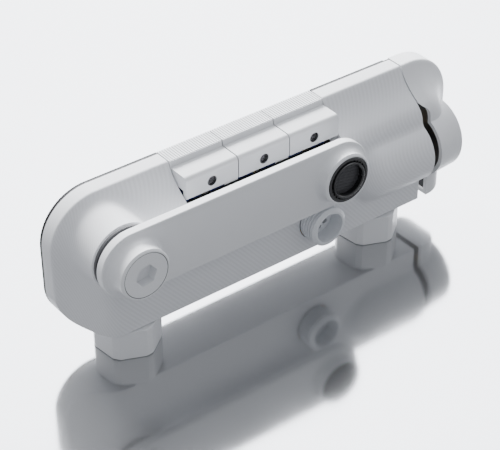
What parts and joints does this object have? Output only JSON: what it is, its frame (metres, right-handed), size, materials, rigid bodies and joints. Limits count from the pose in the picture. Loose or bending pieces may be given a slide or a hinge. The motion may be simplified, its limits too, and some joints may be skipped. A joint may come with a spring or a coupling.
{
  "type": "bath and shower mixer",
  "caption": "Wall-mounted bath and shower mixer with a swinging flat spout, push keys, a turning end lever, a hose outlet and union nuts on its inlets.",
  "frame": {"origin": "centre of the bounding box, on the plane that the two union nuts stand on", "axes": "+X along the mixer towards the lever cap, +Y towards the shelf plate, +Z away from the wall side"},
  "size_m": [0.2396, 0.0508, 0.0868],
  "materials": {
    "casing_white": "satin, very fine ribbed texture",
    "key_white": "satin",
    "painted_white": "satin powder coat",
    "plate_black": "satin",
    "aerator_black": "semi-gloss",
    "valve_navy": "semi-gloss",
    "inner_black": "satin",
    "brass": "machined",
    "steel": "satin",
    "seal_black": "matt",
    "cartridge_grey": "satin"
  },
  "bodies": {
    "fixed": {"casing": "casing_white", "shelf_plate": "plate_black", "valve_body": "brass", "riser_socket": "brass", "inlet_spigot_left": "brass", "inlet_spigot_right": "brass", "inlet_washer_left": "seal_black", "inlet_washer_right": "seal_black", "hose_outlet": "painted_white", "check_valve": "inner_black", "pivot_bush": "inner_black", "mixing_cartridge": "cartridge_grey", "cartridge_nut": "brass", "valve_head_left": "valve_navy", "return_spring_left": "steel", "valve_head_middle": "valve_navy", "return_spring_middle": "steel", "valve_head_right": "valve_navy", "return_spring_right": "steel", "casing_screw_1": "steel", "casing_screw_2": "steel", "casing_screw_3": "steel"},
    "spout": {"spout_pivot": "brass", "spout_seal_inner": "seal_black", "spout_seal_outer": "seal_black", "spout_circlip": "steel", "spout_bar": "painted_white", "spout_plug": "painted_white", "aerator_washer": "seal_black", "aerator_shell": "aerator_black", "aerator_insert": "aerator_black"},
    "lever": {"lever_cap": "painted_white", "lever_carrier": "inner_black", "lever_grub_screw": "steel", "cartridge_stem": "brass"},
    "nut_left": {"union_nut_left": "painted_white"},
    "nut_right": {"union_nut_right": "painted_white"},
    "key_left_set": {"key_left": "key_white", "key_screw_left": "steel", "plunger_left": "brass"},
    "key_middle_set": {"key_middle": "key_white", "key_screw_middle": "steel", "plunger_middle": "brass"},
    "key_right_set": {"key_right": "key_white", "key_screw_right": "steel", "plunger_right": "brass"}
  },
  "joints": [
    {"name": "spout_swing", "type": "hinge", "parent": "fixed", "child": "spout", "pos_m": [-0.0952, -0.01115, 0.0638], "axis": [0, -1, 0], "range_deg": [0, 120]},
    {"name": "lever_turn", "type": "hinge", "parent": "fixed", "child": "lever", "pos_m": [0.0873, 0.00545, 0.0446], "axis": [1, 0, 0], "range_deg": [-40, 40]},
    {"name": "nut_left_spin", "type": "hinge", "parent": "fixed", "child": "nut_left", "pos_m": [-0.0852, 0.00905, 0], "axis": [0, 0, 1], "continuous": true},
    {"name": "nut_right_spin", "type": "hinge", "parent": "fixed", "child": "nut_right", "pos_m": [0.0648, 0.00905, 0], "axis": [0, 0, 1], "continuous": true},
    {"name": "key_left_push", "type": "slide", "parent": "fixed", "child": "key_left_set", "axis": [0, 0, -1], "range_m": [0, 0.0035], "stiffness_N_per_m": 600, "springref_m": -0.006, "deforming": ["return_spring_left"]},
    {"name": "key_middle_push", "type": "slide", "parent": "fixed", "child": "key_middle_set", "axis": [0, 0, -1], "range_m": [0, 0.0035], "stiffness_N_per_m": 600, "springref_m": -0.006, "deforming": ["return_spring_middle"]},
    {"name": "key_right_push", "type": "slide", "parent": "fixed", "child": "key_right_set", "axis": [0, 0, -1], "range_m": [0, 0.0035], "stiffness_N_per_m": 600, "springref_m": -0.006, "deforming": ["return_spring_right"]}
  ]
}
